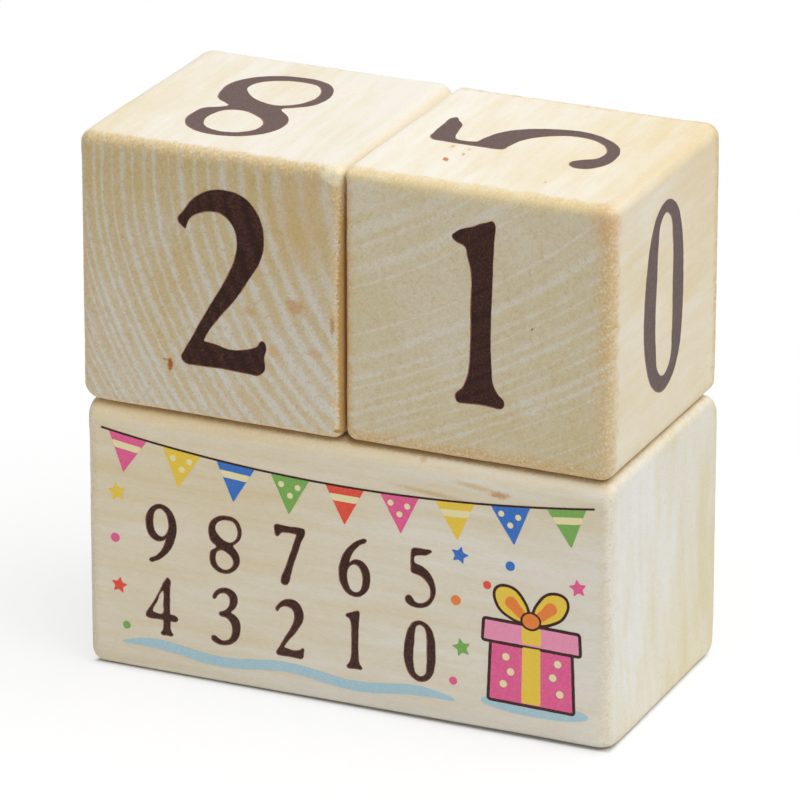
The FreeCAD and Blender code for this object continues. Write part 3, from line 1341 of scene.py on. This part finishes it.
    def build(self) -> None:
        """Make the base's wood and its print."""
        self.build_wood()
        for name, shapes in (("bunting", self.bunting()), ("present", self.present()),
                             ("confetti", self.confetti()), ("streamer", self.streamer())):
            Film(f"{self.node}_{name}", shapes).build(self, Side.FRONT)
        for row, digits in enumerate(self.countdown):
            for column, digit in enumerate(digits):
                centre = (self.first_numeral_mm[0] + column * self.numeral_pitch_mm[0],
                          self.first_numeral_mm[1] - row * self.numeral_pitch_mm[1])
                shapes = Numeral(digit, centre, 0.0, self.numeral_scale).shapes(60 + 5 * row + column)
                Film(f"{self.node}_numeral_{digit}", shapes).build(self, Side.FRONT)


# Studio

@dataclass
class Studio:
    """White floor, soft light from above and behind, and the camera.

    Reflections show the surround's front only `dim_front` as bright, and the two ranges after it are where it
    brightens, on the floor and by direction. The floor is dark under the base within `contact_half_m`.
    """

    camera_place_mm: Triple = (426.036, -974.872, 469.337)
    camera_turn_deg: Triple = (68.1996, -0.0865, 23.6092)
    lens_mm: float = 330.525
    sensor_mm: float = 36.0
    shift: Pair = (-0.00805, 0.00093)
    key_from: Triple = (0.29, -0.08, 0.92)
    key_strength: float = 2.6
    key_softness_deg: float = 55.0
    world_strength: float = 0.2
    white: str = "#FFFFFF"
    floor_white: str = "#F0F0F0"
    floor_glow: float = 0.7
    floor_half_m: float = 4.0
    dim_front: float = 0.33
    dim_floor_m: Pair = (-0.08, 0.01)
    dim_surround: Pair = (-0.5, 0.2)
    contact_half_m: Triple = (0.0437, 0.0203, 0.0)
    contact_rim_m: Pair = (-0.0003, 0.0006)
    nearest_m: float = 0.05

    def build_camera(self) -> None:
        """Set the camera where the picture was taken from."""
        data = bpy.data.cameras.new("camera")
        data.lens = self.lens_mm
        data.sensor_width = self.sensor_mm
        data.shift_x, data.shift_y = self.shift
        data.clip_start = self.nearest_m
        camera = bpy.data.objects.new("camera", data)
        camera.location = Vector(self.camera_place_mm) * MM
        camera.rotation_euler = Euler([math.radians(angle) for angle in self.camera_turn_deg])
        bpy.context.scene.collection.objects.link(camera)
        bpy.context.scene.camera = camera

    def seen_by_reflection(self, add: Add, path: bpy.types.Node) -> Socket:
        """1 for reflected and refracted rays, and 0 for the camera's own and for those that light things."""
        return add("Math.MAXIMUM", path.outputs["Is Glossy Ray"], path.outputs["Is Transmission Ray"])

    def paper(self) -> bpy.types.Material:
        """Build the floor's nodes: matt white paper, lit through so that it looks evenly white.

        Returns:
            The material.
        """
        material = bpy.data.materials.new("white_paper_floor")
        add = clear_nodes(material)
        path = add("LightPath").node
        camera = path.outputs["Is Camera Ray"]
        mirror = self.seen_by_reflection(add, path)
        colour = add("Mix", camera, inputs={6: linear(self.floor_white), 7: linear(self.white)}, **COLOURS)
        paper = add("BsdfDiffuse", colour)
        # The floor's front half shows dim in reflections, as the room in front of it is
        place = add("TexCoord", output="Object")
        front = add("SeparateXYZ", place, output="Y")
        front = add("MapRange", front, *self.dim_floor_m, self.dim_front, 1.0)
        strength = add("Mix", mirror, inputs={2: 1.0, 3: front})
        glow = add("Emission", inputs={"Strength": strength})
        # The contact shadow under the base's round edges stays dark
        under = add("VectorMath.ABSOLUTE", place)
        under = add("VectorMath.SUBTRACT", under, self.contact_half_m)
        x, y, _ = add("SeparateXYZ", under).node.outputs
        clear = add("Math.MAXIMUM", x, y)
        clear = add("MapRange", clear, *self.contact_rim_m, 0.0, self.floor_glow)
        share = add("Math.MULTIPLY_ADD", camera, clear, mirror)
        shader = add("MixShader", share, paper, glow)
        add("OutputMaterial", shader)
        return material

    def build_floor(self) -> None:
        """Lay the floor under the base block."""
        half = self.floor_half_m
        corners = [(-half, -half, 0), (half, -half, 0), (half, half, 0), (-half, half, 0)]
        mesh = bpy.data.meshes.new("floor")
        mesh.from_pydata(corners, [], [(0, 1, 2, 3)])
        mesh.materials.append(self.paper())
        floor = bpy.data.objects.new("floor", mesh)
        bpy.context.scene.collection.objects.link(floor)

    def build_surround(self) -> None:
        """Build the white surround, dimmer in front where things mirror it and weak where it lights them."""
        world = bpy.data.worlds.new("white_surround")
        add = clear_nodes(world)
        path = add("LightPath").node
        ray = add("TexCoord", output="Generated")
        front = add("SeparateXYZ", ray, output="Y")
        front = add("MapRange", front, *self.dim_surround, self.dim_front, 1.0)
        strength = add("Mix", path.outputs["Is Camera Ray"], inputs={2: self.world_strength, 3: 1.0})
        strength = add("Mix", self.seen_by_reflection(add, path), inputs={2: strength, 3: front})
        shader = add("Background", linear(self.white), strength)
        add("OutputWorld", shader)
        bpy.context.scene.world = world

    def build_key(self) -> None:
        """Hang one very soft light above."""
        data = bpy.data.lights.new("key", "SUN")
        data.energy = self.key_strength
        data.angle = math.radians(self.key_softness_deg)
        key = bpy.data.objects.new("key", data)
        key.rotation_euler = Vector(self.key_from).to_track_quat("Z", "Y").to_euler()
        bpy.context.scene.collection.objects.link(key)

    def build(self) -> None:
        """Build the studio and keep the plain view settings."""
        bpy.context.scene.view_settings.view_transform = "Standard"
        self.build_camera()
        self.build_floor()
        self.build_surround()
        self.build_key()


def tens_cube() -> NumberCube:
    """Describe the left cube, with broad clear rings on its front.

    Returns:
        The cube, not yet built.
    """
    growth = GrainField(Grain.FRONT_TO_BACK, 2.0, pith_mm=(57.8, 22.2), ring_mm=2.25, line_share=0.19,
                        share_lean=(0.002, -0.002), crowding=1.4, unevenness=0.34, rub_mm=1.3,
                        rub_shift_mm=(0.2, 0.0, 0.6))
    finish = WashedHardwood(
        "washed_hardwood_tens",
        end_wash=0.26,
        end_lean=(-0.001, 0.0, -0.012),
        tone_lean=(0.0, 0.0, -0.0018),
        warmth=0.17,
        rubbed="#EED4A0",
        warm_lean=(-0.008, 0.0, 0.0),
        warm_spread=2.0,
        flecks_and_shade=(
            FleckOrShade((15.6, -22.0, 12.0), (4.2, 3.0, 7.0), "#DDB878", 0.5, softness=0.9, cloudy=2.0),
            FleckOrShade((14.6, -22.0, -1.3), (1.5, 3.0, 1.1), "#D4A05C", 0.75, (0.0, 0.4, 0.0), 0.6, 2.6),
            FleckOrShade((6.6, -22.0, -3.2), (0.8, 3.0, 0.8), "#D8AA68", 0.6, softness=0.6, cloudy=2.4),
            FleckOrShade((10.8, -22.0, -9.2), (0.9, 3.0, 0.8), "#D8A868", 0.4, softness=0.8, cloudy=2.0),
            FleckOrShade((17.8, -22.0, -8.4), (1.0, 3.0, 0.7), "#D8A868", 0.4, softness=0.8, cloudy=2.0),
            # Painted shade: the right front edge darkens brown in the gap beside the ones cube
            FleckOrShade((22.3, -21.4, -5.0), (0.8, 2.2, 25.0), "#BE8C2E", 0.75, softness=0.25),
            FleckOrShade((20.9, -21.7, 21.2), (1.9, 1.7, 1.7), "#FFF3CE", 0.95, softness=0.35, cloudy=0.8),
            FleckOrShade((21.4, -22.0, -20.7), (0.5, 2.0, 0.3), "#A86A3C", 0.7, softness=0.4),
            FleckOrShade((20.7, -22.0, -3.6), (0.35, 2.0, 1.4), "#C08048", 0.7, softness=0.5, cloudy=2.4),
            FleckOrShade((-6.8, -22.0, -14.0), (0.45, 3.0, 0.95), "#B4682A", 1.0, softness=0.35),
            FleckOrShade((-7.5, -22.0, -13.3), (0.6, 3.0, 0.2), "#BC7434", 0.6, softness=0.35),
        ),
    )
    return NumberCube(
        "tens_cube", "tens", "cube_wood", growth, finish,
        planed_radii_mm=((2.7, 1.9, 1.35, 2.1), (2.6, 1.8, 2.3, 3.8)),
        sanded_radii_mm=((1.4, 1.3, 1.55, 1.9), (1.6, 1.5, 2.0, 1.5)),
        numerals={
            Side.FRONT: Numeral("2", (24.5, 23.5)),
            Side.TOP: Numeral("8", (21.0, 21.4)),
            Side.RIGHT: Numeral("6", (22.2, 22.8)),
            Side.BACK: Numeral("0", (22.4, 22.6)),
            Side.LEFT: Numeral("1", (21.6, 22.9)),
            Side.BOTTOM: Numeral("7", (22.6, 21.8), 90.0),
        },
    )


def ones_cube() -> NumberCube:
    """Describe the right cube, with faint fine rings on its front.

    Returns:
        The cube, not yet built.
    """
    growth = GrainField(Grain.FRONT_TO_BACK, 11.0, pith_mm=(-72.0, 128.0), ring_mm=2.2, line_share=0.13,
                        unevenness=0.85, pores=replace(PORES, per_mm=(3.0, 1.2, 1.6)), rub_mm=1.9,
                        rub_shift_mm=(0.6, 0.0, -0.6))
    finish = WashedHardwood(
        "washed_hardwood_ones",
        tan="#DCCB9D",
        ring_white="#E6DECB",
        ring_strength=0.60,
        rubbed="#E2C289",
        end_wash=0.38,
        speckle_strength=0.7,
        stain_strength=0.35,
        end_lean=(-0.001, 0.0, 0.005),
        warmth=0.41,
        warm_lean=(0.009, 0.002, -0.005),
        warm_spread=2.0,
        flecks_and_shade=(
            FleckOrShade((-9.9, -11.1, 22.2), (0.45, 0.95, 3.0), "#C8803C", 1.0, (0.0, 0.0, 0.5), 0.4),
            FleckOrShade((-11.2, -5.4, 22.2), (0.3, 0.5, 3.0), "#DDAE6C", 0.8),
            FleckOrShade((-8.3, -5.7, 22.2), (0.25, 0.4, 3.0), "#DDB478", 0.7),
            FleckOrShade((-8.3, -8.0, 22.2), (0.25, 0.6, 3.0), "#D8A65C", 0.85, (0.0, 0.0, 0.3)),
            FleckOrShade((7.8, -14.3, 22.2), (0.18, 0.5, 3.0), "#D2A468", 0.7),
            FleckOrShade((9.0, -21.9, 1.2), (0.12, 2.0, 0.25), "#8A5240", 0.8, (0.0, 0.6, 0.0), 0.3),
            # Painted shade: the left front edge darkens brown in the gap beside the tens cube
            FleckOrShade((-22.3, -21.4, -5.0), (0.8, 2.2, 25.0), "#D2963C", 0.65, softness=0.25),
            FleckOrShade((22.3, 14.0, 13.0), (3.0, 13.0, 11.0), "#EFD49C", 0.38, softness=0.9, cloudy=0.8),
            FleckOrShade((22.3, -6.0, -12.0), (3.0, 16.0, 9.0), "#FAF3E2", 0.3, softness=0.9, cloudy=0.8),
            FleckOrShade((-3.0, -21.2, 21.7), (26.0, 1.6, 1.5), "#F4E2B0", 0.6, softness=0.6, cloudy=2.0),
            FleckOrShade((20.6, -22.0, 19.6), (2.0, 3.0, 3.4), "#E6B680", 0.4, softness=0.8, cloudy=2.6),
        ),
    )
    return NumberCube(
        "ones_cube", "ones", "cube_wood", growth, finish,
        planed_radii_mm=((1.9, 2.5, 1.9, 0.9), (1.8, 1.8, 2.3, 2.1)),
        sanded_radii_mm=((1.9, 1.55, 1.55, 1.55), (1.8, 1.0, 2.2, 1.6)),
        numerals={
            Side.FRONT: Numeral("1", (22.7, 24.7)),
            Side.TOP: Numeral("5", (21.0, 22.5), 90.0),
            Side.RIGHT: Numeral("0", (20.5, 23.6)),
            Side.BACK: Numeral("3", (22.0, 22.6)),
            Side.LEFT: Numeral("2", (22.5, 22.4)),
            Side.BOTTOM: Numeral("4", (22.4, 22.0)),
        },
    )


def base_block() -> BaseBlock:
    """Describe the base, washed pale, with tan clouds along its front.

    Returns:
        The base, not yet built.
    """
    growth = GrainField(Grain.LEFT_TO_RIGHT, 23.0, pith_mm=(-160.0, 30.0), ring_mm=3.9, line_share=0.2,
                        rub_mm=1.7)
    finish = WashedHardwood(
        "washed_hardwood_base",
        tan="#EDE0B8",
        ring_white="#F8F7F0",
        ring_strength=0.12,
        end_wash=0.55,
        end_spread=1.9,
        speckle_strength=0.3,
        stain_strength=0.12,
        cream="#F9F3E4",
        warm="#EBD5A4",
        warmth=0.31,
        warm_lean=(0.0, -0.004, 0.010),
        warm_spread=1.8,
        side_clouds=replace(SIDE_CLOUDS, per_mm=(0.11, 0.013, 0.11)),
        end_clouds=replace(END_CLOUDS, per_mm=(0.12, 0.1, 0.035)),
        end_lean=(0.010, 0.0, 0.006),
        tone_lean=(0.0, -0.0004, 0.0),
        rub_strength=0.4,
        rubbed="#ECDCB4",
        pit_share=0.2,
        flecks_and_shade=(
            FleckOrShade((22.3, 25.7, 18.2), (3.0, 1.5, 0.5), "#D29A50", 0.8, softness=0.45, cloudy=1.2),
            FleckOrShade((22.3, 21.8, 18.9), (3.0, 2.6, 0.4), "#DDB474", 0.55, (-0.12, 0.0, 0.0), 0.8, 1.6),
            FleckOrShade((22.3, 14.8, 16.6), (3.0, 5.0, 0.35), "#D8AC66", 0.55, (-0.06, 0.0, 0.0), 0.8, 1.6),
            FleckOrShade((22.3, 12.8, 21.6), (3.0, 0.6, 0.4), "#DDB87C", 0.6, softness=0.6, cloudy=1.0),
            # Painted shade: the top front edge darkens under the tens cube's overhang
            FleckOrShade((20.6, -24.0, 22.4), (2.2, 22.0, 1.7), "#DDBE88", 0.6, softness=0.7, cloudy=0.5),
            # Painted shade: a brown line along the seam under both cubes
            FleckOrShade((20.2, 0.0, 22.5), (1.9, 44.0, 0.6), "#BC8A44", 0.5, softness=0.4, cloudy=1.0),
        ),
    )
    return BaseBlock(
        "base_block", "base", "base_wood", growth, finish,
        planed_radii_mm=((2.6, 3.2, 3.0, 2.2), (2.6, 4.0, 3.0, 4.2)),
        sanded_radii_mm=((1.9, 1.9, 1.3, 1.9), (1.7, 1.6, 1.6, 0.9)),
        corner_wear_mm=((0.0, 0.0, 0.0, 0.0), (0.0, 2.6, 0.0, 0.0)),
    )


def main() -> None:
    """Build the studio and the blocks in order."""
    logging.basicConfig(level=logging.INFO, format="%(message)s")
    Studio().build()
    for block in (base_block(), tens_cube(), ones_cube()):
        block.build()
        log.info("%s done", block.node)


if __name__ == "__main__":
    main()
